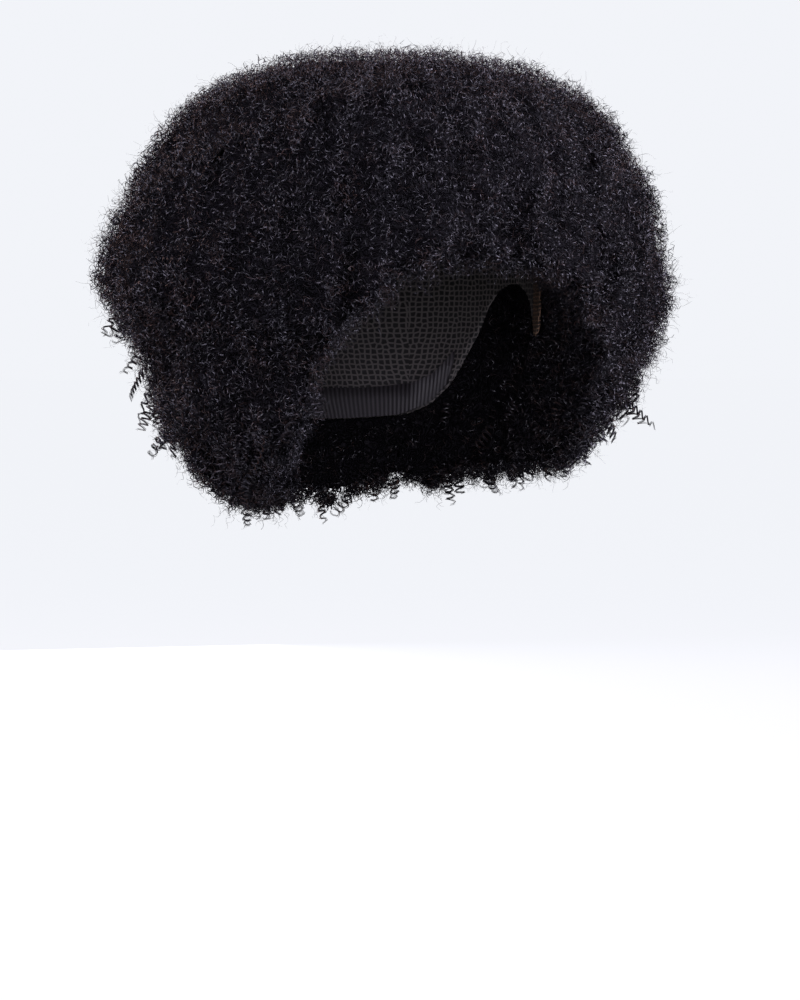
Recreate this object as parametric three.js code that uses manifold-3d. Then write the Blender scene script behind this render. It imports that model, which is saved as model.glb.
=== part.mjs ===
// A full, tightly curled lace wig of chin length with a short fringe.
// The cap is a dome of lace and net with an elastic band at the nape, and the hair stands on it in sections.
// Millimetres, +Z up, face opening towards -Y, wearer's right towards -X.
// The origin is the crown seat: the highest point inside the cap, where it rests on the head.
import * as THREE from "three";
import { mergeVertices } from "three/addons/utils/BufferGeometryUtils.js";
import Module from "manifold-3d";

const wasm = await Module();
wasm.setup();

// Walls and gaps
const CAP_WALL = 1.2;
const SEAM_GAP = 0.3; // between any two neighbouring pieces
const BAND_WALL = 1.6;
const BAND_WIDTH = 18;
const BAND_START = 46; // the band begins this far behind the axis, under each ear
const LACE_END = -30; // the lace panel reaches back to here over the crown

// Where the hair is parted into sections
const FRINGE_PARTING = -48;
const BACK_PARTING = 62;
const CROWN_PARTING = -30;
const TEMPLE_PARTING = 76;
const NAPE_PARTING = -112;

// Face opening, cut back from the front to just before the ears
const OPENING_DEPTH = 180;
const OPENING_BACK = -22;

// Strips of hair that run from the crown to the hem, each with a crest and a groove beside it
const STRIPS = 32;
const CREST = 3.2; // a crest stands out this far from the hair's sections
const GROOVE = 3.4; // and a groove lies this deep in them
const KINK = 2.6; // a crest rises and falls by this much along its strip
const KINKS = 6.5; // as often as this from crown to hem
const SWAY = 0.028; // radians by which a crest wanders to each side
const STRIP_FADE = 7; // strips start and end within this fraction, as 1 in 7, of the way down
const HEM_DROP = 12; // the longest strips end this far below the hem
const HEM_START = 0.82; // and begin to lengthen at this share of the way down

// Mesh fineness
const AROUND_HEAD = 36;
const DOWN_HEAD = 15;
const DOWN_HAIR = 26;
const LOCK_SIDES = 5;
const OUTLINE_STEPS = 2; // between two rows of an outline's table
const MERGE_DISTANCE = 1e-3;
const NORMAL_STEP = 1e-4; // for finding which way a surface faces
const LEVEL_STEP = 1e-3; // for finding where a form passes a level
const FAR = 400; // beyond every piece

// Turns rows of numbers into rows with named columns.
const table = (columns, rows) =>
  rows.map((row) => Object.fromEntries(columns.map((name, i) => [name, row[i]])));

// Inside of the cap and the hollow for the neck below it: how far each level reaches from the upright axis.
const HEAD_SECTIONS = table(
  ["level", "right", "left", "front", "back"],
  [
    [0, 0, 0, 0, 0],
    [-6, 36, 36, 45, 47],
    [-20, 58, 58, 71, 74],
    [-40, 70, 70, 87, 90],
    [-62, 75.5, 75.5, 94, 96],
    [-90, 77, 77, 97, 99],
    [-120, 76, 76, 95, 97],
    [-150, 71, 71, 88, 87],
    [-175, 66, 66, 80, 75],
    [-200, 65, 65, 76, 68],
    [-236, 68, 68, 76, 70],
    [-240, 0, 0, 0, 0],
  ],
);

// Outside of the hair, from the top of the crown to the hem. Rise is how much higher the wearer's left side lies.
const HAIR_SECTIONS = table(
  ["level", "right", "left", "front", "back", "rise"],
  [
    [30, 0, 0, 0, 0, 0],
    [27, 50, 59, 47, 55, 0],
    [17, 84, 94, 75, 85, 0],
    [2, 111, 118, 92, 109, 0],
    [-18, 128, 138, 105, 122, 0],
    [-42, 143, 149, 115, 135, 0],
    [-67, 156, 156, 120, 144, 0],
    [-92, 161, 161, 122, 147, 0],
    [-114, 151, 159, 120, 145, 1],
    [-136, 133, 151, 114, 138, 3],
    [-157, 131, 138, 106, 130, 6],
    [-174, 123, 127, 97, 119, 10],
    [-191, 104, 114, 87, 104, 14],
    [-204, 87, 98, 79, 91, 16],
    [-212, 77, 84, 74, 82, 17],
    [-217, 0, 0, 0, 0, 0],
  ],
);

// Lower edge of the cap in side view, from the forehead past the temple, over the ear and down to the nape.
const RIM = table(
  ["along", "level"],
  [
    [-140, -58],
    [-92, -60],
    [-74, -72],
    [-58, -96],
    [-48, -119],
    [-34, -121],
    [-24, -104],
    [-4, -93],
    [20, -99],
    [36, -127],
    [52, -158],
    [76, -169],
    [140, -170],
  ],
);

// Face opening in front view: half its width at each level, from the middle of the fringe down past the hem.
const OPENING = table(
  ["level", "half"],
  [
    [-81, 0],
    [-84, 26],
    [-91, 44],
    [-100, 58],
    [-111, 68],
    [-124, 76],
    [-150, 81],
    [-185, 84],
    [-260, 88],
  ],
);

// Rows of locks fused to the hair, each laid down its surface from a root level.
// From and to are degrees round from the wearer's left, with the face at -90.
// Drop is how far a tip lies below its root, reach how far it stands out, sink how deep the root lies.
const LOCK_ROWS = table(
  ["level", "count", "from", "to", "drop", "reach", "sink", "thickness"],
  [
    [-148, 11, -44, 224, 36, -2, 5, 8],
    [-176, 13, -38, 218, 34, -4, 5, 7.5],
    [-197, 15, -42, 222, 25, -5, 6, 6.5],
  ],
);

// Short locks along the lower edge of the fringe, by how far they lie to each side of the middle.
const FRINGE_LOCKS = table(
  ["across", "along", "level", "drop"],
  [
    [8, -112, -76, 15],
    [24, -111, -78, 14],
    [40, -108, -84, 15],
    [54, -104, -91, 16],
    [66, -99, -100, 18],
  ],
);
const FRINGE_LOCK_THICKNESS = 6.5;

// A lock's outline: its width against its own thickness, from root to tip.
const LOCK_PROFILE = table(
  ["along", "width"],
  [
    [0, 0],
    [0.12, 0.85],
    [0.45, 1],
    [0.78, 0.6],
    [1, 0],
  ],
);
const LOCK_SWING = 0.45; // how far a lock winds off its own line, against its thickness
const LOCK_BOW = 0.12; // how far a lock's middle stands out from its line, against its length
const LOWEST_FOOT = -208; // below this level locks hang free of the hair's surface
const LOCK_VARIETY = 0.3; // how much neighbouring locks differ in length
const GOLDEN_SHARE = 0.618; // steps through the locks so that no two neighbours match
const BODY_CENTRE = new THREE.Vector3(0, 10, -85); // the hair stands out from here

// Finishes
const FINISHES = {
  lace: { color: 0x8a6a52, roughness: 0.8, metalness: 0 },
  net: { color: 0x1c1918, roughness: 0.85, metalness: 0 },
  elastic: { color: 0x151414, roughness: 0.75, metalness: 0 },
  hair: { color: 0x17141a, roughness: 0.5, metalness: 0 },
};

// A closed three.js geometry as a solid that can be joined and cut.
function solid(geometry) {
  const loose = geometry.index ? geometry.toNonIndexed() : geometry;
  const bare = new THREE.BufferGeometry().setAttribute("position", loose.attributes.position);
  const merged = mergeVertices(bare, MERGE_DISTANCE);
  const corners = merged.index.array;
  const faces = [];
  for (let i = 0; i < corners.length; i += 3) {
    const [a, b, c] = corners.slice(i, i + 3);
    if (a !== b && b !== c && c !== a) faces.push(a, b, c);
  }
  const vertProperties = new Float32Array(merged.attributes.position.array);
  return new wasm.Manifold(new wasm.Mesh({ numProp: 3, vertProperties, triVerts: new Uint32Array(faces) }));
}

// The largest body of a solid, without crumbs that a cut has left beside it.
const mainBody = (made) => made.decompose().reduce((a, b) => (a.volume() > b.volume() ? a : b));

// The smooth outline through one side's reaches, as a curve of reach and level.
const outline = (sections, side) =>
  new THREE.CatmullRomCurve3(
    sections.map((row) => new THREE.Vector3(row[side] ?? 0, 0, row.level)),
    false,
    "catmullrom",
  );

// A function for points on a form: round by its angle, and down from 0 at the top to 1 at the bottom.
function surfaceOf(sections) {
  const profiles = {};
  for (const side of ["right", "left", "front", "back", "rise"]) profiles[side] = outline(sections, side);
  return (angle, down) => {
    const across = Math.cos(angle);
    const along = Math.sin(angle);
    const sideways = profiles[across < 0 ? "right" : "left"].getPoint(down);
    const lengthways = profiles[along < 0 ? "front" : "back"].getPoint(down);
    const rise = Math.max(across, 0) * profiles.rise.getPoint(down).x;
    return new THREE.Vector3(across * sideways.x, along * lengthways.x, sideways.z + rise);
  };
}

// The direction straight out of a form at a point of its surface.
function outwardAt(surface, angle, down) {
  if (down === 0 || down === 1) return new THREE.Vector3(0, 0, 1 - 2 * down);
  const round = surface(angle + NORMAL_STEP, down).sub(surface(angle - NORMAL_STEP, down));
  const fall = surface(angle, down + NORMAL_STEP).sub(surface(angle, down - NORMAL_STEP));
  return fall.cross(round).normalize();
}

// Relief that pushes a whole form out evenly.
const even = (grow) => () => ({ grow, sway: 0, hang: 0 });

// Relief of the hair's strips: crests on even columns, grooves on odd ones, both fading towards the poles.
function strips(column, down) {
  const fade = Math.min(1, STRIP_FADE * down, STRIP_FADE * (1 - down));
  if (column % 2) return { grow: -GROOVE * fade, sway: 0, hang: 0 };
  const chance = (column * GOLDEN_SHARE) % 1;
  const wave = 2 * Math.PI * (KINKS * down + chance);
  const nearHem = Math.max(0, (down - HEM_START) / (1 - HEM_START));
  return {
    grow: (CREST + KINK * Math.sin(wave)) * fade,
    sway: SWAY * Math.cos(wave) * fade,
    hang: HEM_DROP * chance * Math.sin(Math.PI * nearHem),
  };
}

// A closed form through sections, with a relief given by column and by the share of the way down.
function form(sections, around, steps, relief) {
  const surface = surfaceOf(sections);
  const ball = new THREE.SphereGeometry(1, around, steps);
  const { position, uv } = ball.attributes;
  for (let i = 0; i < position.count; i++) {
    const column = Math.round(uv.getX(i) * around) % around;
    const down = Math.floor(i / (around + 1)) / steps;
    const { grow, sway, hang } = relief(column, down);
    const angle = (2 * Math.PI * column) / around + sway;
    const point = surface(angle, down).addScaledVector(outwardAt(surface, angle, down), grow);
    position.setXYZ(i, point.x, point.y, point.z - hang);
  }
  return solid(ball);
}

// A block between limits; a limit that is left out lies far beyond the wig.
function block({ x = [-FAR, FAR], y = [-FAR, FAR], z = [-FAR, FAR] }, grow = 0) {
  const size = [x, y, z].map(([low, high]) => high - low + 2 * grow);
  const box = new THREE.BoxGeometry(...size);
  box.translate((x[0] + x[1]) / 2, (y[0] + y[1]) / 2, (z[0] + z[1]) / 2);
  return solid(box);
}

// Everything below the cap's edge.
function belowRim() {
  const edge = RIM.map(({ along, level }) => new THREE.Vector2(along, level));
  const shape = new THREE.Shape().moveTo(edge[0].x, edge[0].y);
  shape.splineThru(edge.slice(1));
  shape.lineTo(edge.at(-1).x, -FAR);
  shape.lineTo(edge[0].x, -FAR);
  const prism = new THREE.ExtrudeGeometry(shape, {
    depth: 2 * FAR,
    bevelEnabled: false,
    curveSegments: OUTLINE_STEPS,
  });
  prism.translate(0, 0, -FAR);
  const sideView = new THREE.Matrix4().makeBasis(
    new THREE.Vector3(0, 1, 0),
    new THREE.Vector3(0, 0, 1),
    new THREE.Vector3(1, 0, 0),
  );
  return solid(prism.applyMatrix4(sideView));
}

// The space in front of the face, under the arch of the fringe.
function faceOpening() {
  const left = OPENING.map(({ level, half }) => new THREE.Vector2(half, level));
  const right = OPENING.map(({ level, half }) => new THREE.Vector2(-half, level)).reverse();
  const shape = new THREE.Shape().moveTo(right[0].x, right[0].y);
  shape.splineThru([...right.slice(1), ...left.slice(1)]);
  const prism = new THREE.ExtrudeGeometry(shape, {
    depth: OPENING_DEPTH,
    bevelEnabled: false,
    curveSegments: OUTLINE_STEPS,
  });
  const frontView = new THREE.Matrix4().makeBasis(
    new THREE.Vector3(1, 0, 0),
    new THREE.Vector3(0, 0, 1),
    new THREE.Vector3(0, -1, 0),
  );
  return solid(prism.applyMatrix4(frontView).translate(0, OPENING_BACK, 0));
}

// One lock: a tapered spindle from root to tip, wound once about its own line and bowed outwards.
function lock(root, tip, out, thickness, start) {
  const length = root.distanceTo(tip);
  const profile = LOCK_PROFILE.map(({ along, width }) => new THREE.Vector2(width * thickness, along * length));
  const spindle = new THREE.LatheGeometry(profile, LOCK_SIDES);
  const line = tip.clone().sub(root).normalize();
  const lie = new THREE.Quaternion().setFromUnitVectors(new THREE.Vector3(0, 1, 0), line);
  const { position } = spindle.attributes;
  const point = new THREE.Vector3();
  for (let i = 0; i < position.count; i++) {
    point.fromBufferAttribute(position, i);
    const share = point.y / length;
    const turn = start + share * 2 * Math.PI;
    const swing = LOCK_SWING * thickness * share;
    point.x += swing * Math.cos(turn);
    point.z += swing * Math.sin(turn);
    point.applyQuaternion(lie).add(root);
    point.addScaledVector(out, 4 * share * (1 - share) * LOCK_BOW * length);
    position.setXYZ(i, point.x, point.y, point.z);
  }
  return solid(spindle);
}

// The share of the way down a form at which it passes a level.
function downAt(sections, level) {
  const profile = outline(sections, "right");
  let low = 0;
  let high = 1;
  while (high - low > LEVEL_STEP) {
    const middle = (low + high) / 2;
    if (profile.getPoint(middle).z > level) low = middle;
    else high = middle;
  }
  return low;
}

// Every lock of the rows, laid down the hair's surface or hanging from its hem.
function locksOfRows() {
  const surface = surfaceOf(HAIR_SECTIONS);
  const locks = [];
  for (const row of LOCK_ROWS) {
    for (let i = 0; i < row.count; i++) {
      const chance = (locks.length * GOLDEN_SHARE) % 1;
      const size = 1 + LOCK_VARIETY * (chance - 0.5);
      const degrees = THREE.MathUtils.lerp(row.from, row.to, i / (row.count - 1));
      const angle = THREE.MathUtils.degToRad(degrees);
      const drop = row.drop * size;
      const root = surface(angle, downAt(HAIR_SECTIONS, row.level));
      const tip = surface(angle, downAt(HAIR_SECTIONS, Math.max(row.level - drop, LOWEST_FOOT)));
      tip.z += Math.min(row.level - drop - LOWEST_FOOT, 0);
      const out = root.clone().sub(BODY_CENTRE).normalize();
      root.addScaledVector(out, -row.sink);
      tip.addScaledVector(out, row.reach);
      locks.push(lock(root, tip, out, row.thickness * size, chance * 2 * Math.PI));
    }
  }
  return locks;
}

// The fringe's own short locks, on both sides of the middle.
function locksOfFringe() {
  const out = new THREE.Vector3(0, -1, 0);
  return FRINGE_LOCKS.flatMap(({ across, along, level, drop }, i) =>
    [-1, 1].map((side) => {
      const root = new THREE.Vector3(side * across, along, level);
      const tip = new THREE.Vector3(side * across, along, level - drop);
      return lock(root, tip, out, FRINGE_LOCK_THICKNESS, i * GOLDEN_SHARE + side);
    }),
  );
}

// The inside of the cap, pushed out evenly.
const headForm = (grow) => form(HEAD_SECTIONS, AROUND_HEAD, DOWN_HEAD, even(grow));

// The whole head of hair, hollow for the cap and open at the face.
function wholeHair() {
  const hollow = headForm(CAP_WALL + SEAM_GAP);
  const mass = form(HAIR_SECTIONS, 2 * STRIPS, DOWN_HAIR, strips);
  const opened = wasm.Manifold.union([mass, ...locksOfRows()]).subtract(faceOpening());
  return wasm.Manifold.union([opened, ...locksOfFringe()]).subtract(hollow);
}

// The hair parted into sections, each a seam gap clear of the next.
function hairSections() {
  const half = SEAM_GAP / 2;
  const hair = wholeHair();
  const fringe = { x: [-TEMPLE_PARTING, TEMPLE_PARTING], y: [-FAR, FRINGE_PARTING] };
  const crown = { y: [FRINGE_PARTING, BACK_PARTING], z: [CROWN_PARTING, FAR] };
  const back = { y: [BACK_PARTING, FAR], z: [NAPE_PARTING, FAR] };
  const nape = { y: [BACK_PARTING, FAR], z: [-FAR, NAPE_PARTING] };
  const middle = wasm.Manifold.union([block(fringe, half), block(crown, half)]);
  const besideFace = (x) => hair.intersect(block({ x, y: [-FAR, BACK_PARTING - half] })).subtract(middle);
  return {
    hair_fringe: mainBody(hair.intersect(block(fringe, -half))),
    hair_crown: mainBody(hair.intersect(block(crown, -half))),
    hair_right: mainBody(besideFace([-FAR, 0])),
    hair_left: mainBody(besideFace([0, FAR])),
    hair_back: mainBody(hair.intersect(block(back, -half))),
    hair_nape: mainBody(hair.intersect(block(nape, -half))),
  };
}

// The cap's two panels and the band inside its nape.
function capPieces() {
  const half = SEAM_GAP / 2;
  const rim = belowRim();
  const dome = headForm(CAP_WALL).subtract(headForm(0)).subtract(rim);
  const strip = headForm(-SEAM_GAP).subtract(headForm(-SEAM_GAP - BAND_WALL)).subtract(rim);
  const nearRim = rim.translate(0, 0, BAND_WIDTH).intersect(block({ y: [BAND_START, FAR] }));
  return {
    lace_front: mainBody(dome.intersect(block({ y: [-FAR, LACE_END - half] }))),
    net_cap: mainBody(dome.intersect(block({ y: [LACE_END + half, FAR] }))),
    nape_band: mainBody(strip.intersect(nearRim)),
  };
}

// A named mesh in its own finish.
function piece(name, made, finish) {
  const { numProp, vertProperties, triVerts } = made.getMesh();
  const geometry = new THREE.BufferGeometry();
  geometry.setAttribute("position", new THREE.BufferAttribute(vertProperties, numProp));
  geometry.setIndex(new THREE.BufferAttribute(triVerts, 1));
  geometry.computeVertexNormals();
  const mesh = new THREE.Mesh(geometry, new THREE.MeshStandardMaterial(finish));
  mesh.name = name;
  return mesh;
}

const CAP_FINISHES = { lace_front: FINISHES.lace, net_cap: FINISHES.net, nape_band: FINISHES.elastic };

const cap = new THREE.Group();
for (const [name, made] of Object.entries(capPieces())) cap.add(piece(name, made, CAP_FINISHES[name]));

const hair = new THREE.Group();
for (const [name, made] of Object.entries(hairSections())) hair.add(piece(name, made, FINISHES.hair));

const wig = new THREE.Group();
wig.add(cap, hair);

export default wig;
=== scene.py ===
import math
from collections import namedtuple

import bpy
import numpy as np
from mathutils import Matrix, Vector
from mathutils.bvhtree import BVHTree
from mathutils.kdtree import KDTree


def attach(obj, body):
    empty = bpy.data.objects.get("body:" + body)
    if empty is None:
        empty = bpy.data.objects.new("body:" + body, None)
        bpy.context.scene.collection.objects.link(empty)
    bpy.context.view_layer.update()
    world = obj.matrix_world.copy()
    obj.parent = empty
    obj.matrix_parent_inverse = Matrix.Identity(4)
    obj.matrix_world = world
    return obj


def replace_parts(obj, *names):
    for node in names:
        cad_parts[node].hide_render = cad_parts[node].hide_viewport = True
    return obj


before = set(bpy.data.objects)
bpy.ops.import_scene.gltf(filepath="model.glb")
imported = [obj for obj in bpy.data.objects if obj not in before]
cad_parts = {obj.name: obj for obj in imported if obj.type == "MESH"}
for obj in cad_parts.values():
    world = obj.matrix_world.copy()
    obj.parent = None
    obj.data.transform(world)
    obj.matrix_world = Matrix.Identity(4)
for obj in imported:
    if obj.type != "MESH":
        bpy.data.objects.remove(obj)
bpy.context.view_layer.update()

MM = 0.001
SEED = 7
DOWN = np.array([0, 0, -1])

# The photograph's view: its angle in degrees, its distance, and where the crown seat lies in its frame
VIEW_AZIMUTH = -27
VIEW_ELEVATION = 2
VIEW_DISTANCE = 2.0
FRAME_PIXELS = (800, 1000)
SEAT_PIXEL = (391, 113)
PIXEL = 0.55 * MM
SENSOR_WIDTH = 36

# The studio: a pale floor, a surround that is bright to look at but lights little, and square soft lights
# with their angles in degrees
PALE = "#f4f6fb"
FLOOR_LEVEL = -0.44
FLOOR_SIZE = 300
FLOOR_GLOW = 0.97
SURROUND_SEEN = 0.98
SURROUND_LIGHT = 0.03
LIT_POINT = Vector((0, 0, -0.09))
Light = namedtuple("Light", "name azimuth elevation distance size watts colour")
LIGHTS = (
    Light("key", -75, 27, 1.8, 1.1, 35, "#e8e1ff"),
    Light("fill", 60, 23, 1.9, 1.1, 58, "#e8e1ff"),
    Light("low_front", -20, 9, 1.9, 0.6, 16, "#f0ecff"),
    Light("rim", 125, 38, 1.8, 1.4, 9, "#ffc9c2"),
    Light("back", -150, 26, 1.9, 1.1, 12, "#ffcfc6"),
    Light("low_back", 170, 3, 1.9, 0.9, 20, "#f0ecff"),
)

# The wig's nodes, and the middle of its mass of hair
SECTIONS = sorted(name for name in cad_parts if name.startswith("hair_"))
CAP = ("lace_front", "net_cap", "nape_band")
MASS_CENTRE = np.array([0, 10, -85]) * MM
MERGE_REACH = 0.01 * MM  # corners this close are one
CLOTH_CREASE = math.radians(40)  # the cap's cloth stays sharp only where it turns more than this

# Patterns of the materials
ARC_CELL = 5 * MM  # the dense hair's arcs of curl lie in cells about this far across
ARC_STEP = 0.13  # and this share of a cell is half the way from one arc to the next
ARC_RELIEF = 0.8 * MM
SWAY_SIZE = 6 * MM  # over this distance the arcs sway
SWAY_REACH = 4 * MM  # by up to this much
LACE_CELL = 2.2 * MM  # about twice a real cell, so that it shows
NET_CELL = 3.0 * MM  # the same
NET_RELIEF = 0.5 * MM
RIB_SPACING = 2.5 * MM  # wider than between real ribs, so that they show
RIB_RELIEF = 0.6 * MM
BAND_RADIUS = 80 * MM

# The smooth skin round the hair, and the bed of dense hair under it that the curls grow from
SKIN_VOXEL = 4 * MM
SKIN_SMOOTHING = 3
SMOOTH_FACTOR = 0.5
COVER_REACH = 5 * MM  # hair that the cap lies this close in front of is covered
BED_ROUNDING = 14  # more smoothing, which draws the bed back from sharp edges
BED_CUTS = 2  # cuts in each edge, for the lumps
BED_CREASE = math.radians(60)
BED_DEPTH = 3 * MM  # the bed lies this far under the rounded skin
BED_LUMPS = 3 * MM  # or up to this much further, at random
BED_SHARE = 0.35  # and no deeper than this share of the hair's thickness
BED_FOOT = -208 * MM  # between tufts, only curls hang lower than this

# The tufts that the hair gathers into: square millimetres of skin to each, and their form
TUFT_AREA = 320
TUFT_RADIUS = 12 * MM
TUFT_HEIGHT = 4.5 * MM
TUFT_TINT = 0.35  # the share of a strand's tone that its whole tuft has
CLUMP = 12 * MM  # within about this reach, curls lie and wind alike

# Where curls grow more or less densely
EDGE_START = 0.6 * MM  # where rounding draws the skin back further than this, more curls fill the edge
EDGE_STEP = 0.2 * MM  # as many again for each of these steps
UNDER_SHARE = 1.8  # and this share more where the hair faces down
EDGE_FILL = 5 * MM  # the curls there reach up to this much deeper
EDGE_WIDTH = 0.8  # and the deepest are this share wider
INNER_SHARE = 0.3  # hair that faces the head has this share of the curls
FACE_EDGE = -22 * MM  # but not where it frames the face, in front of here

# Kinds of strand: square millimetres of skin to each, points along it, least and most length, loop radius
# and width in millimetres, how far its loops tilt, and the shares of its line that go straight out, with
# the fall, with its clump and by chance. Ringlets have no such shares, because they hang.
Kind = namedtuple("Kind", "area points length radius width tilt line")
SURFACE_CURL = Kind(12.7, 12, (6, 11), (1.3, 2.4), (0.3, 0.46), 0.4, (0.25, 0.2, 0.8, 0.5))
FRIZZ = Kind(50, 13, (6, 13), (1.5, 3.0), (0.1, 0.2), 1.0, (0.7, 0.1, 0.3, 0.8))
HEM_CURL = Kind(50, 22, (7, 15), (1.2, 2.2), (0.18, 0.3), 0.8, (0.6, 0.8, 0.2, 0.4))
FRINGE_CURL = HEM_CURL._replace(area=24)
RINGLET = Kind(420, 48, (7, 14), (2.0, 3.2), (0.5, 0.75), 0.55, None)

# How strands lie and wind
FALL_OUT = 0.5  # hair falls this far outwards for each step down
BEND = 0.3  # a strand's tip bends aside by this share of its length
KINK = 0.18  # unevenness of its loops
CROWDING = (0.8, 1.3)  # powers by which its loops crowd towards its root or its tip
ROOT_LOOP = 0.5  # the first loop's share of full size
LOOP_GROWTH = 3  # how fast loops grow to it
LOOP_SHRINK = 0.3  # and how much they shrink towards the tip
TIP_TAPER = 0.75  # strips thin by this share at the tip
TIP_POWER = 3  # mostly close to it
DARK_POWER = 2  # most strands are dark
STRIP_TURN = math.radians(70)  # strips turn up to this far, so that their loops show from all sides

# Surface curls, from the lowest to the highest, and the halo of frizz
LIFT = np.array([-2.8, 3.4]) * MM  # how far out of the tufts the lowest and the highest lie
HIGH_POWER = 1.2  # fewer curls lie high
LOW_WIDTH = 1.4  # the lowest curls are this many times as wide
HIGH_WIDTH = 0.8  # and the highest this many
SURFACE_TURNS = (1.5, 2.0)
SURFACE_GATHER = 2  # how much neighbours wind alike
FRIZZ_TURNS = (1.1, 1.9)
FRIZZ_GLOW_TONE = 0.4  # the least tone: loose hairs are drawn browner and lighter, partly their own brown and partly a painted glow of light shining through thin hair

# Thin curls and ringlets at the lower edges
EDGE_FACING = -0.4  # thin curls hang where the way out of the skin points lower than this
EDGE_PITCH = 4.5 * MM
HEM_LEVEL = -170 * MM  # a section that reaches lower than this has a hem
RINGLET_TOP = -150 * MM  # and its ringlets hang below here
RINGLET_PITCH = (2.8, 4.6)  # millimetres to a turn
RINGLET_KINK = 0.08
RINGLET_SWAY = 0.2  # how far ringlets hang out of the upright by chance
HEM_LEAN = 0.3  # and how far those of a hem lean out

# Where each strand of a ringlet lies, out from its middle one and along it, in millimetres
Strand = namedtuple("Strand", "out along")
RINGLET_STRANDS = (
    Strand(0, 0),
    Strand(0.5, 0.3),
    Strand(-0.45, 0.4),
    Strand(0.1, -0.5),
)

# Ringlets that hang loose: degrees round from the wearer's left, level, and length, in millimetres
LOOSE_REACH = 150 * MM  # they root in the hair nearest to this far out from the middle
LOOSE_LEAN = 0.5  # they lean this far out for each step down
Loose = namedtuple("Loose", "degrees level length")
LOOSE_RINGLETS = (
    Loose(150, -112, 12),
    Loose(156, -118, 12),
    Loose(147, -124, 13),
    Loose(153, -138, 20),
    Loose(150, -142, 26),
    Loose(157, -160, 16),
    Loose(147, -172, 18),
    Loose(160, -186, 16),
    Loose(215, -204, 20),
    Loose(230, -206, 16),
    Loose(-27, -150, 14),
    Loose(-20, -166, 16),
    Loose(-34, -178, 17),
    Loose(-45, -184, 18),
)


# Colours and nodes


def linear(hex_colour):
    """An sRGB hex colour as linear red, green, blue and alpha."""
    parts = [int(hex_colour[i : i + 2], 16) / 255 for i in (1, 3, 5)]
    return (*[c / 12.92 if c <= 0.04045 else ((c + 0.055) / 1.055) ** 2.4 for c in parts], 1)


def add(tree, kind, settings=None, **inputs):
    """Adds a node with its settings, and sets or links its inputs by name."""
    made = tree.nodes.new(kind)
    for key, value in (settings or {}).items():
        setattr(made, key, value)
    for key, value in inputs.items():
        socket = next(i for i in made.inputs if key in (i.identifier, i.name.replace(" ", "_")))
        if isinstance(value, bpy.types.NodeSocket):
            tree.links.new(value, socket)
        else:
            socket.default_value = value
    return made


def material(name):
    """A new material with no nodes, and its tree."""
    made = bpy.data.materials.new(name)
    made.use_nodes = True
    made.node_tree.nodes.clear()
    return made, made.node_tree


def surface(tree, shader):
    """Sends a shader to the material's surface."""
    output = add(tree, "ShaderNodeOutputMaterial")
    tree.links.new(shader.outputs[0], output.inputs["Surface"])


def ramp(tree, factor, *stops):
    """A colour ramp through (place, hex colour) stops."""
    made = add(tree, "ShaderNodeValToRGB", Fac=factor)
    elements = made.color_ramp.elements
    while len(elements) < len(stops):
        elements.new(0.5)
    for element, (place, colour) in zip(elements, stops):
        element.position = place
        element.color = linear(colour)
    return made.outputs["Color"]


# Materials


def curled_hair():
    """Natural black human hair, steam-curled, with a cool soft gloss and a few browner strands."""
    made, tree = material("curled_human_hair")
    tone = add(tree, "ShaderNodeAttribute", {"attribute_name": "tone"}).outputs["Fac"]
    colour = ramp(tree, tone, (0, "#07070b"), (0.45, "#0d0b10"), (0.75, "#1b1415"), (1, "#35241f"))
    shader = add(tree, "ShaderNodeBsdfPrincipled", Base_Color=colour, Roughness=0.46, IOR=1.55)
    surface(tree, shader)
    return made


def hair_bed():
    """The dense hair behind the curls: near-black, darker than the curls as painted shade of the hair's
    depth, with tight arcs of curl in relief that are painted a little lighter as faint painted glints.
    """
    made, tree = material("dense_hair")
    place = add(tree, "ShaderNodeTexCoord").outputs["Object"]
    sway = add(tree, "ShaderNodeTexNoise", Vector=place, Scale=1 / SWAY_SIZE, Detail=1.0)
    loose = add(
        tree, "ShaderNodeVectorMath", {"operation": "MULTIPLY_ADD"},
        Vector=sway.outputs["Color"], Vector_001=(SWAY_REACH,) * 3, Vector_002=place,
    )
    cells = add(tree, "ShaderNodeTexVoronoi", Vector=loose.outputs["Vector"], Scale=1 / ARC_CELL)
    arcs = add(
        tree, "ShaderNodeMath", {"operation": "PINGPONG"},
        Value=cells.outputs["Distance"], Value_001=ARC_STEP,
    )
    strand = add(tree, "ShaderNodeMapRange", Value=arcs.outputs["Value"], From_Max=ARC_STEP).outputs["Result"]
    # Painted shade and glints: these colours are darker than the curls' darkest tone, as painted shade deep
    # in the hair, and the arcs are painted lighter as faint painted glints
    colour = ramp(tree, strand, (0, "#010101"), (0.6, "#050406"), (1, "#131015"))
    bump = add(tree, "ShaderNodeBump", Height=strand, Strength=1.0, Distance=ARC_RELIEF)
    shader = add(
        tree, "ShaderNodeBsdfPrincipled",
        Base_Color=colour, Roughness=0.6, IOR=1.2, Normal=bump.outputs["Normal"],
    )
    surface(tree, shader)
    return made


def net_cloth(name, cell, thread, thread_colour, hole_colour):
    """Knitted net: matt threads round open cells, drawn about twice their real size so that they show. A
    thread is a share of its cell."""
    made, tree = material(name)
    place = add(tree, "ShaderNodeTexCoord").outputs["UV"]
    cells = add(
        tree, "ShaderNodeTexVoronoi", {"feature": "DISTANCE_TO_EDGE", "voronoi_dimensions": "2D"},
        Vector=place, Scale=1 / cell, Randomness=0.4,
    )
    inwards = cells.outputs["Distance"]
    colour = ramp(tree, inwards, (0, thread_colour), (thread, thread_colour), (thread * 2, hole_colour))
    bump = add(tree, "ShaderNodeBump", {"invert": True}, Height=inwards, Strength=0.8, Distance=NET_RELIEF)
    shader = add(
        tree, "ShaderNodeBsdfPrincipled",
        Base_Color=colour, Roughness=0.75, IOR=1.5, Normal=bump.outputs["Normal"],
    )
    surface(tree, shader)
    return made


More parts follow.
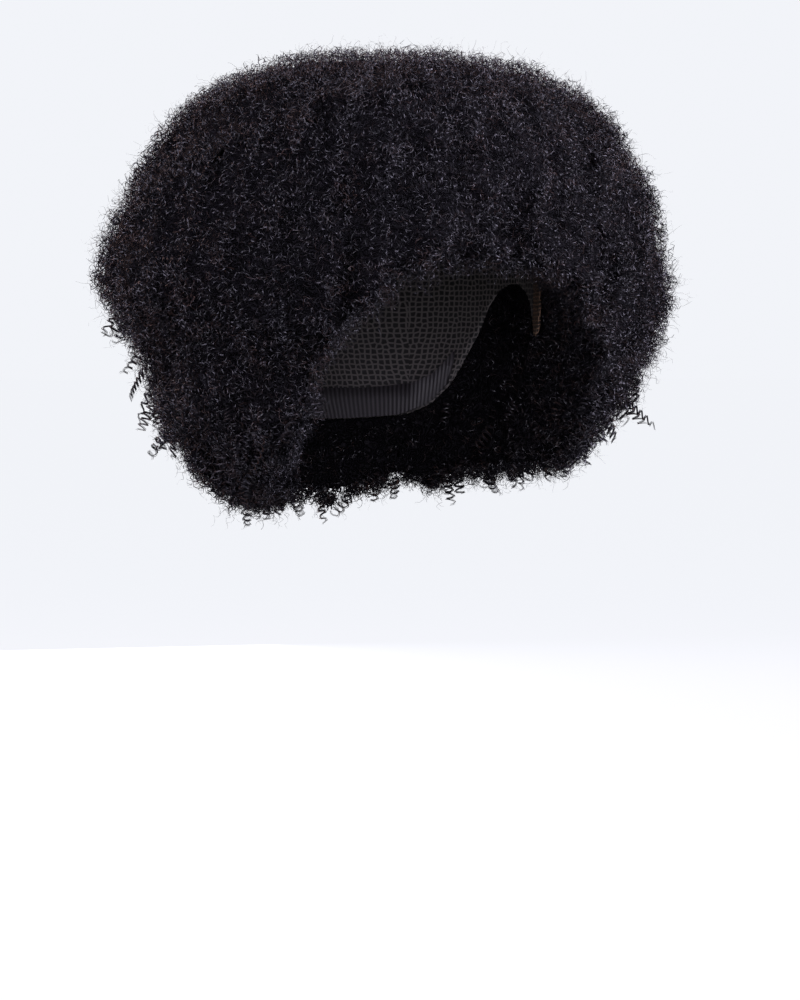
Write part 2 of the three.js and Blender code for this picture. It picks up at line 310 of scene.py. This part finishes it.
def elastic_web():
    """Woven elastic: black with a dull gloss, and upright ribs, drawn wider apart so that they show; the
    ribs' crests are painted lighter as a painted sheen, and the grooves darker as painted shade.
    """
    made, tree = material("woven_elastic")
    place = add(tree, "ShaderNodeSeparateXYZ", Vector=add(tree, "ShaderNodeTexCoord").outputs["Object"])
    round_head = add(
        tree, "ShaderNodeMath", {"operation": "ARCTAN2"},
        Value=place.outputs["Y"], Value_001=place.outputs["X"],
    )
    half_rib = RIB_SPACING / BAND_RADIUS / 2
    ribs = add(
        tree, "ShaderNodeMath", {"operation": "PINGPONG"},
        Value=round_head.outputs["Value"], Value_001=half_rib,
    )
    height = add(tree, "ShaderNodeMapRange", Value=ribs.outputs["Value"], From_Max=half_rib).outputs["Result"]
    # Painted sheen and shade: the rib crests are painted lighter and the grooves darker
    colour = ramp(tree, height, (0, "#131113"), (0.5, "#2c292c"), (1, "#3d3a3d"))
    bump = add(tree, "ShaderNodeBump", Height=height, Strength=0.7, Distance=RIB_RELIEF)
    shader = add(
        tree, "ShaderNodeBsdfPrincipled",
        Base_Color=colour, Roughness=0.6, IOR=1.5, Normal=bump.outputs["Normal"],
    )
    surface(tree, shader)
    return made


def pale_floor():
    """Matt white studio floor, bright enough to meet the surround."""
    made, tree = material("matt_white_floor")
    shader = add(tree, "ShaderNodeBsdfPrincipled", Base_Color=linear("#3a3b3d"), Roughness=0.9)
    shader.inputs["Emission Color"].default_value = linear(PALE)
    shader.inputs["Emission Strength"].default_value = FLOOR_GLOW
    surface(tree, shader)
    return made


# Meshes


def unit(vectors):
    """Vectors at length 1."""
    return vectors / np.maximum(np.linalg.norm(vectors, axis=-1, keepdims=True), 1e-9)


def only(obj):
    """Selects this object alone."""
    bpy.ops.object.select_all(action="DESELECT")
    obj.select_set(True)
    bpy.context.view_layer.objects.active = obj


def copy_of(node, name):
    """A new piece with a merged copy of a CAD node's mesh."""
    made = bpy.data.objects.new(name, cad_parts[node].data.copy())
    bpy.context.scene.collection.objects.link(made)
    made.data.materials.clear()
    only(made)
    bpy.ops.object.mode_set(mode="EDIT")
    bpy.ops.mesh.select_all(action="SELECT")
    bpy.ops.mesh.remove_doubles(threshold=MERGE_REACH)
    bpy.ops.object.mode_set(mode="OBJECT")
    return made


def apply_modifier(obj, kind, **settings):
    """Adds a modifier to the active object and applies it."""
    bpy.ops.object.modifier_add(type=kind)
    modifier = obj.modifiers[-1]
    for key, value in settings.items():
        setattr(modifier, key, value)
    bpy.ops.object.modifier_apply(modifier=modifier.name)


def tree_of(nodes):
    """A search tree of these CAD nodes' faces."""
    corners, faces = [], []
    for node in nodes:
        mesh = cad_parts[node].data
        start = len(corners)
        corners.extend(v.co.copy() for v in mesh.vertices)
        faces.extend([start + i for i in p.vertices] for p in mesh.polygons)
    return BVHTree.FromPolygons(corners, faces)


def read(items, name, width):
    """One property of a mesh's items as an array."""
    values = np.zeros(len(items) * width, np.float32)
    items.foreach_get(name, values)
    return values.reshape(-1, width) if width > 1 else values


def ribbons(paths, radial, widths, turned):
    """Thin flat strips along paths: their corners and faces. Unturned, the faces look along radial."""
    count, points, _ = paths.shape
    along = unit(np.gradient(paths, axis=1))
    flat = unit(np.cross(along, radial))
    upright = np.cross(flat, along)
    side = np.cos(turned)[:, None, None] * flat + np.sin(turned)[:, None, None] * upright
    side *= widths[:, :, None] / 2
    corners = np.stack([paths - side, paths + side], axis=2)
    strip = 2 * np.arange(points - 1)[:, None] + [0, 1, 3, 2]
    firsts = 2 * points * np.arange(count)[:, None, None]
    return corners.reshape(-1, 3), (firsts + strip).reshape(-1, 4)


def joined(name, parts):
    """One piece from parts, each its corners, its four-sided faces and its corners' tones."""
    starts = np.cumsum([0] + [len(corners) for corners, _, _ in parts[:-1]])
    corners = np.concatenate([part[0] for part in parts])
    faces = np.concatenate([start + part[1] for start, part in zip(starts, parts)])
    tones = np.concatenate([part[2] for part in parts])
    mesh = bpy.data.meshes.new(name)
    mesh.vertices.add(len(corners))
    mesh.vertices.foreach_set("co", corners.astype(np.float32).ravel())
    mesh.loops.add(faces.size)
    mesh.loops.foreach_set("vertex_index", faces.astype(np.int32).ravel())
    mesh.polygons.add(len(faces))
    mesh.polygons.foreach_set("loop_start", np.arange(0, faces.size, 4, dtype=np.int32))
    mesh.polygons.foreach_set("use_smooth", np.ones(len(faces), bool))
    mesh.update(calc_edges=True)
    mesh.attributes.new("tone", "FLOAT", "POINT").data.foreach_set("value", tones.astype(np.float32))
    made = bpy.data.objects.new(name, mesh)
    bpy.context.scene.collection.objects.link(made)
    return made


# The outer form of the hair

# The skin's open triangles, search trees of all its faces as they are and rounded for the bed, which of those
# faces are open, a search tree of each section, and one of the tufts' middles
HairForm = namedtuple("HairForm", "skin tree rounded_tree shown section_trees tufts")


def nearest_section(places, section_trees):
    """The number of the section that each place lies on."""
    reach = [[tree.find_nearest(place)[3] for tree in section_trees] for place in places]
    return np.argmin(reach, axis=1)


def whole_hair():
    """One smooth piece round all the sections of hair."""
    copies = [copy_of(node, node + "_form") for node in SECTIONS]
    whole = copies[0]
    for other in copies:
        other.select_set(True)
    bpy.context.view_layer.objects.active = whole
    bpy.ops.object.join()
    apply_modifier(whole, "REMESH", mode="VOXEL", voxel_size=SKIN_VOXEL)
    apply_modifier(whole, "SMOOTH", factor=SMOOTH_FACTOR, iterations=SKIN_SMOOTHING)
    return whole


def hair_form():
    """The outer form of all the hair. The skin's triangles know their section, how much of an edge they are,
    and the area that counts for the number of their curls."""
    whole = whole_hair()
    mesh = whole.data
    cap = tree_of(CAP)
    section_trees = [tree_of([node]) for node in SECTIONS]
    shown = np.array([cap.ray_cast(p.center, p.normal, COVER_REACH)[0] is None for p in mesh.polygons])
    sections = nearest_section([p.center for p in mesh.polygons], section_trees)
    places = read(mesh.vertices, "co", 3)
    normals = read(mesh.vertices, "normal", 3)
    mesh.calc_loop_triangles()
    faces = read(mesh.loop_triangles, "polygon_index", 1).astype(int)
    triangles = read(mesh.loop_triangles, "vertices", 3).astype(int)[shown[faces]]
    polygons = [list(p.vertices) for p in mesh.polygons]
    apply_modifier(whole, "SMOOTH", factor=SMOOTH_FACTOR, iterations=BED_ROUNDING)
    rounded = read(whole.data.vertices, "co", 3)
    bpy.data.objects.remove(whole)

    skin = {
        "corners": places[triangles],
        "normals": normals[triangles],
        "sections": sections[faces[shown[faces]]],
    }
    middles = skin["corners"].mean(1)
    facing = skin["normals"].mean(1)
    sunk = ((places - rounded) * normals).sum(1)
    drawn_back = np.maximum(sunk[triangles].mean(1) - EDGE_START, 0)
    skin["edge"] = drawn_back / EDGE_STEP + UNDER_SHARE * np.maximum(-facing[:, 2], 0) ** 2
    edges = skin["corners"][:, 1:] - skin["corners"][:, :1]
    skin["areas"] = np.linalg.norm(np.cross(edges[:, 0], edges[:, 1]), axis=1) / 2
    facing_head = (facing * (middles - MASS_CENTRE)).sum(1) < 0
    skin["areas"][facing_head & (middles[:, 1] > FACE_EDGE)] *= INNER_SHARE

    tree = BVHTree.FromPolygons(places.tolist(), polygons)
    rounded_tree = BVHTree.FromPolygons(rounded.tolist(), polygons)
    tufts = tuft_middles(skin, np.random.default_rng(SEED))
    return HairForm(skin, tree, rounded_tree, shown, section_trees, tufts)


def part_of(skin, chosen):
    """The chosen triangles of a skin."""
    return {key: values[chosen] for key, values in skin.items()}


def number_of(skin, area):
    """How many strands a skin has, with this many square millimetres to each."""
    return int(skin["areas"].sum() / MM**2 / area)


def tuft_middles(skin, rng):
    """A search tree of the middles of the tufts."""
    places, _, _ = scatter(skin, number_of(skin, TUFT_AREA), rng)
    tree = KDTree(len(places))
    for number, place in enumerate(places):
        tree.insert(place, number)
    tree.balance()
    return tree


def relief(places, tufts):
    """How far the hair stands out at each place, as rounded tufts with narrow valleys between them, and the
    number of each place's tuft."""
    found = [tufts.find(place) for place in places]
    numbers = np.array([number for _, number, _ in found])
    reach = np.array([distance for _, _, distance in found])
    return TUFT_HEIGHT * (0.5 - np.minimum(reach / TUFT_RADIUS, 1) ** 2), numbers


def bed_of(node, form, rng):
    """A section's dense inner hair: its own form, lumpy, a little under the open part of the rounded skin."""
    bed = copy_of(node, node + "_bed")
    bpy.ops.object.mode_set(mode="EDIT")
    bpy.ops.mesh.subdivide(number_cuts=BED_CUTS)
    bpy.ops.object.mode_set(mode="OBJECT")
    bpy.ops.object.shade_smooth_by_angle(angle=BED_CREASE)
    rises, _ = relief(read(bed.data.vertices, "co", 3), form.tufts)
    depths = BED_DEPTH - rises + BED_LUMPS * rng.random(len(rises))
    for corner, rise, lowest in zip(bed.data.vertices, rises, depths):
        place, out, face, _ = form.rounded_tree.find_nearest(corner.co)
        thickness = form.rounded_tree.ray_cast(place - out * MM, -out)[3] or 0
        depth = min(lowest, BED_SHARE * thickness) if form.shown[face] else 0
        if (place - corner.co).dot(out) < depth:
            corner.co = place - out * depth
        corner.co.z = max(corner.co.z, BED_FOOT - rise)
    bed.data.update()
    return bed


# Curls


def scatter(skin, count, rng):
    """Evenly spread places on a skin, with the way out at each and the triangle that it lies on."""
    steps = (np.arange(count) + rng.random(count)) / count
    filled = np.cumsum(skin["areas"])
    pick = np.searchsorted(filled / filled[-1], steps).clip(0, len(filled) - 1)
    a, b = rng.random((2, count))
    over = a + b > 1
    a[over], b[over] = 1 - a[over], 1 - b[over]
    weights = np.stack([1 - a - b, a, b], -1)[:, :, None]
    places = (skin["corners"][pick] * weights).sum(1)
    return places, unit((skin["normals"][pick] * weights).sum(1)), pick


def field(places, spacing, rng, waves=7):
    """A smooth random vector at each place, which changes over about this spacing."""
    total = np.zeros_like(places)
    for _ in range(waves):
        wave = rng.normal(size=(3, 3)) / spacing
        total += np.sin(places @ wave.T * 2 + rng.random(3) * 2 * np.pi)
    return total / math.sqrt(waves / 2)


def fall_at(places, normals):
    """The way hair falls over the surface: outwards from the crown, then down."""
    radial = places - MASS_CENTRE
    radial[:, 2] = 0
    fall = FALL_OUT * unit(radial) + DOWN
    return unit(fall - (fall * normals).sum(1, keepdims=True) * normals)


def lie(places, normals, shares, rng):
    """The lines that strands wind about: shares of straight out, the fall, a clump's drift and chance."""
    out, down, drift, stray = shares
    own = unit(rng.normal(size=places.shape))
    led = out * normals + down * fall_at(places, normals)
    return unit(led + drift * field(places, CLUMP, rng) + stray * own)


def coils(roots, lines, lengths, radii, turns, kind, rng, kink=KINK, gather=0):
    """Corkscrew paths about lines, loosely bent and unevenly wound, and the way out from the line at each
    point. The more they gather, the more alike neighbours start and wind. The more a kind's loops tilt, the
    more they show as open rings."""
    count = len(roots)
    share = np.linspace(0, 1, kind.points)
    common = gather * field(roots, CLUMP, rng)
    axis = unit(lines + kind.tilt * unit(rng.normal(size=lines.shape)))
    side = unit(np.cross(axis, common + rng.normal(size=lines.shape)))
    other = np.cross(axis, side)
    wound = share ** rng.uniform(*CROWDING, count)[:, None]
    hand = np.sign(common[:, 0] + rng.normal(size=count))
    turn = 2 * np.pi * hand[:, None] * turns[:, None] * wound
    turn += kink * rng.normal(size=turn.shape)
    size = np.minimum(1, ROOT_LOOP + LOOP_GROWTH * share) * (1 - LOOP_SHRINK * share)
    reach = radii[:, None] * size * (1 + kink * rng.normal(size=turn.shape))
    radial = np.cos(turn)[:, :, None] * side[:, None] + np.sin(turn)[:, :, None] * other[:, None]
    along = lines[:, None] * (lengths[:, None] * share)[:, :, None]
    paths = roots[:, None] + along + reach[:, :, None] * radial
    aside = (BEND * lengths)[:, None] * unit(rng.normal(size=lines.shape))
    paths += aside[:, None] * share[None, :, None] ** 2
    return paths, radial


def strands(paths, radial, widths, tones, turned):
    """Strips along paths that thin towards their tips, with one tone to a strand."""
    share = np.linspace(0, 1, paths.shape[1])
    across = widths[:, None] * (1 - TIP_TAPER * share**TIP_POWER)
    corners, faces = ribbons(paths, radial, across, turned)
    return corners, faces, np.repeat(tones, len(corners) // len(paths))


def between(rng, low, high, count):
    """Random sizes in millimetres, as metres."""
    return rng.uniform(low, high, count) * MM


def any_turn(rng, count):
    """Random turns for strips."""
    return rng.uniform(-STRIP_TURN, STRIP_TURN, count)


def surface_curls(skin, tufts, rng):
    """The tight curls that make up the hair's surface, each a short coil that lies along it. Fewer stand far
    out, and more fill the edges, down to the bed."""
    filled = {**skin, "areas": skin["areas"] * (1 + skin["edge"])}
    count = number_of(filled, SURFACE_CURL.area)
    places, normals, pick = scatter(filled, count, rng)
    rises, numbers = relief(places, tufts)
    height = rng.random(count) ** HIGH_POWER
    deeper = np.minimum(skin["edge"][pick], 1) * rng.random(count)
    lift = rises + LIFT[0] + (LIFT[1] - LIFT[0]) * height - EDGE_FILL * deeper
    lines = lie(places, normals, SURFACE_CURL.line, rng)
    lengths = between(rng, *SURFACE_CURL.length, count)
    roots = places + normals * lift[:, None] - lines * lengths[:, None] / 2
    radii = between(rng, *SURFACE_CURL.radius, count)
    turns = rng.uniform(*SURFACE_TURNS, count)
    paths, radial = coils(roots, lines, lengths, radii, turns, SURFACE_CURL, rng, gather=SURFACE_GATHER)
    tints = np.random.default_rng(SEED).random(numbers.max() + 1)
    tones = TUFT_TINT * tints[numbers] + (1 - TUFT_TINT) * rng.random(count) ** DARK_POWER
    widths = between(rng, *SURFACE_CURL.width, count)
    widths *= LOW_WIDTH + (HIGH_WIDTH - LOW_WIDTH) * height
    widths *= 1 + EDGE_WIDTH * deeper
    return strands(paths, radial, widths, tones, any_turn(rng, count))


def frizz(skin, rng):
    """Fine loose hairs that stand out past the curls as a soft halo."""
    count = number_of(skin, FRIZZ.area)
    places, normals, _ = scatter(skin, count, rng)
    lines = lie(places, normals, FRIZZ.line, rng)
    lengths = between(rng, *FRIZZ.length, count)
    radii = between(rng, *FRIZZ.radius, count)
    turns = rng.uniform(*FRIZZ_TURNS, count)
    paths, radial = coils(places, lines, lengths, radii, turns, FRIZZ, rng)
    # Painted glow: loose hairs get browner, lighter tones, partly their own brown and partly painted light
    # shining through thin hair
    tones = FRIZZ_GLOW_TONE + (1 - FRIZZ_GLOW_TONE) * rng.random(count)
    return strands(paths, radial, between(rng, *FRIZZ.width, count), tones, any_turn(rng, count))


def ringlets(roots, outward, lengths, rng):
    """Tight corkscrews of a few strands wound together, which hang from their roots."""
    count = len(roots)
    lines = unit(outward + RINGLET_SWAY * rng.normal(size=roots.shape) + DOWN)
    turns = lengths / between(rng, *RINGLET_PITCH, count)
    radii = between(rng, *RINGLET.radius, count)
    paths, radial = coils(roots, lines, lengths, radii, turns, RINGLET, rng, kink=RINGLET_KINK)
    bundle = [paths + (radial * out + lines[:, None] * along) * MM for out, along in RINGLET_STRANDS]
    copies = len(RINGLET_STRANDS)
    widths = between(rng, *RINGLET.width, count * copies)
    tones = rng.random(count * copies) ** DARK_POWER
    turned = np.repeat(np.arange(copies) * np.pi / copies, count)
    return strands(np.concatenate(bundle), np.tile(radial, (copies, 1, 1)), widths, tones, turned)


def hem_ringlets(skin, rng):
    """Ringlets along a section's hem."""
    low = part_of(skin, skin["corners"][:, :, 2].max(1) < RINGLET_TOP)
    count = number_of(low, RINGLET.area)
    places, normals, _ = scatter(low, count, rng)
    outward = HEM_LEAN * normals * [1, 1, 0]
    return ringlets(places, outward, between(rng, *RINGLET.length, count), rng)


def loose_ringlets(section, form, rng):
    """The section's ringlets from the table of loose ones, or None."""
    roots, outward, lengths = [], [], []
    for row in LOOSE_RINGLETS:
        angle = math.radians(row.degrees)
        out = Vector((math.cos(angle), math.sin(angle), 0))
        middle = Vector((MASS_CENTRE[0], MASS_CENTRE[1], row.level * MM))
        place = form.tree.find_nearest(middle + out * LOOSE_REACH)[0]
        if nearest_section([place], form.section_trees)[0] == section:
            roots.append(place)
            outward.append(LOOSE_LEAN * out)
            lengths.append(row.length * MM)
    return ringlets(np.array(roots), np.array(outward), np.array(lengths), rng) if roots else None


def edge_curls(skin, kind, rng):
    """Sparse thin curls below a section's lower edges."""
    edge = part_of(skin, skin["normals"][:, :, 2].mean(1) < EDGE_FACING)
    count = number_of(edge, kind.area)
    places, normals, _ = scatter(edge, count, rng)
    lines = lie(places, normals, kind.line, rng)
    lengths = between(rng, *kind.length, count)
    radii = between(rng, *kind.radius, count)
    paths, radial = coils(places, lines, lengths, radii, lengths / EDGE_PITCH, kind, rng)
    widths = between(rng, *kind.width, count)
    return strands(paths, radial, widths, rng.random(count), any_turn(rng, count))


def dress(node, form, hair, dense):
    """A section's bed and its curls."""
    section = SECTIONS.index(node)
    rng = np.random.default_rng([SEED, section])
    bed = bed_of(node, form, rng)
    bed.data.materials.append(dense)
    skin = part_of(form.skin, form.skin["sections"] == section)
    has_hem = skin["corners"][:, :, 2].min() < HEM_LEVEL
    parts = [surface_curls(skin, form.tufts, rng), frizz(skin, rng)]
    if has_hem:
        parts.append(hem_ringlets(skin, rng))
    loose = loose_ringlets(section, form, rng)
    if loose:
        parts.append(loose)
    if has_hem:
        parts.append(edge_curls(skin, HEM_CURL, rng))
    elif node == "hair_fringe":
        parts.append(edge_curls(skin, FRINGE_CURL, rng))
    curls = joined(node + "_curls", parts)
    curls.data.materials.append(hair)
    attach(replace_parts(bed, node), "root")
    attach(curls, "root")


# Cap


def cap_piece(node, finish):
    """A smooth copy of one of the cap's pieces, in its own cloth, with its flat map in metres."""
    piece = copy_of(node, node + "_cloth")
    bpy.ops.object.mode_set(mode="EDIT")
    bpy.ops.uv.cube_project(cube_size=1, correct_aspect=False)
    bpy.ops.object.mode_set(mode="OBJECT")
    bpy.ops.object.shade_smooth_by_angle(angle=CLOTH_CREASE)
    piece.data.materials.append(finish)
    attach(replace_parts(piece, node), "root")


# Stage


def way_to(azimuth, elevation):
    """The way from the wig to what stands at this azimuth and elevation, in degrees."""
    a, e = math.radians(azimuth), math.radians(elevation)
    return Vector((math.sin(a) * math.cos(e), -math.cos(a) * math.cos(e), math.sin(e)))


def place_on_stage(name, data, location, back):
    """A new camera or light that looks against back."""
    made = bpy.data.objects.new(name, data)
    made.location = location
    made.rotation_euler = back.to_track_quat("Z", "Y").to_euler()
    bpy.context.scene.collection.objects.link(made)
    return made


def camera():
    """The photograph's own view."""
    back = way_to(VIEW_AZIMUTH, VIEW_ELEVATION)
    right = way_to(VIEW_AZIMUTH + 90, 0)
    up = back.cross(right)
    across = (SEAT_PIXEL[0] - FRAME_PIXELS[0] / 2) * PIXEL
    above = (FRAME_PIXELS[1] / 2 - SEAT_PIXEL[1]) * PIXEL
    data = bpy.data.cameras.new("view")
    data.sensor_width = SENSOR_WIDTH
    data.lens = SENSOR_WIDTH * VIEW_DISTANCE / PIXEL / max(FRAME_PIXELS)
    location = back * VIEW_DISTANCE - right * across - up * above
    bpy.context.scene.camera = place_on_stage("view", data, location, back)


def softbox(light):
    """A square soft light aimed at the wig."""
    back = way_to(light.azimuth, light.elevation)
    data = bpy.data.lights.new(light.name, "AREA")
    data.size = light.size
    data.energy = light.watts
    data.color = linear(light.colour)[:3]
    place_on_stage(light.name, data, LIT_POINT + back * light.distance, back)


def floor():
    """A plain pale floor, which isn't mirrored in the hair's gloss."""
    bpy.ops.mesh.primitive_plane_add(size=FLOOR_SIZE, location=(0, 0, FLOOR_LEVEL))
    made = bpy.context.object
    made.name = "floor"
    bpy.ops.object.transform_apply(location=True, rotation=True, scale=True)
    made.data.materials.append(pale_floor())
    made.visible_glossy = False


def surround():
    """A plain bright surround that lights the wig only a little."""
    world = bpy.data.worlds.new("surround")
    world.use_nodes = True
    tree = world.node_tree
    light = tree.nodes["Background"].inputs
    light["Color"].default_value = linear(PALE)
    seen = add(tree, "ShaderNodeLightPath").outputs["Is Camera Ray"]
    strength = add(tree, "ShaderNodeMapRange", Value=seen, To_Min=SURROUND_LIGHT, To_Max=SURROUND_SEEN)
    tree.links.new(strength.outputs["Result"], light["Strength"])
    bpy.context.scene.world = world
    bpy.context.scene.view_settings.view_transform = "Standard"


hair, dense = curled_hair(), hair_bed()
form = hair_form()
for node in SECTIONS:
    dress(node, form, hair, dense)
lace = net_cloth("fine_brown_lace", LACE_CELL, thread=0.08, thread_colour="#6a5140", hole_colour="#0f0b0a")
net = net_cloth("black_stretch_net", NET_CELL, thread=0.1, thread_colour="#4a4544", hole_colour="#0d0c0c")
cap_piece("lace_front", lace)
cap_piece("net_cap", net)
cap_piece("nape_band", elastic_web())
camera()
floor()
surround()
for light in LIGHTS:
    softbox(light)
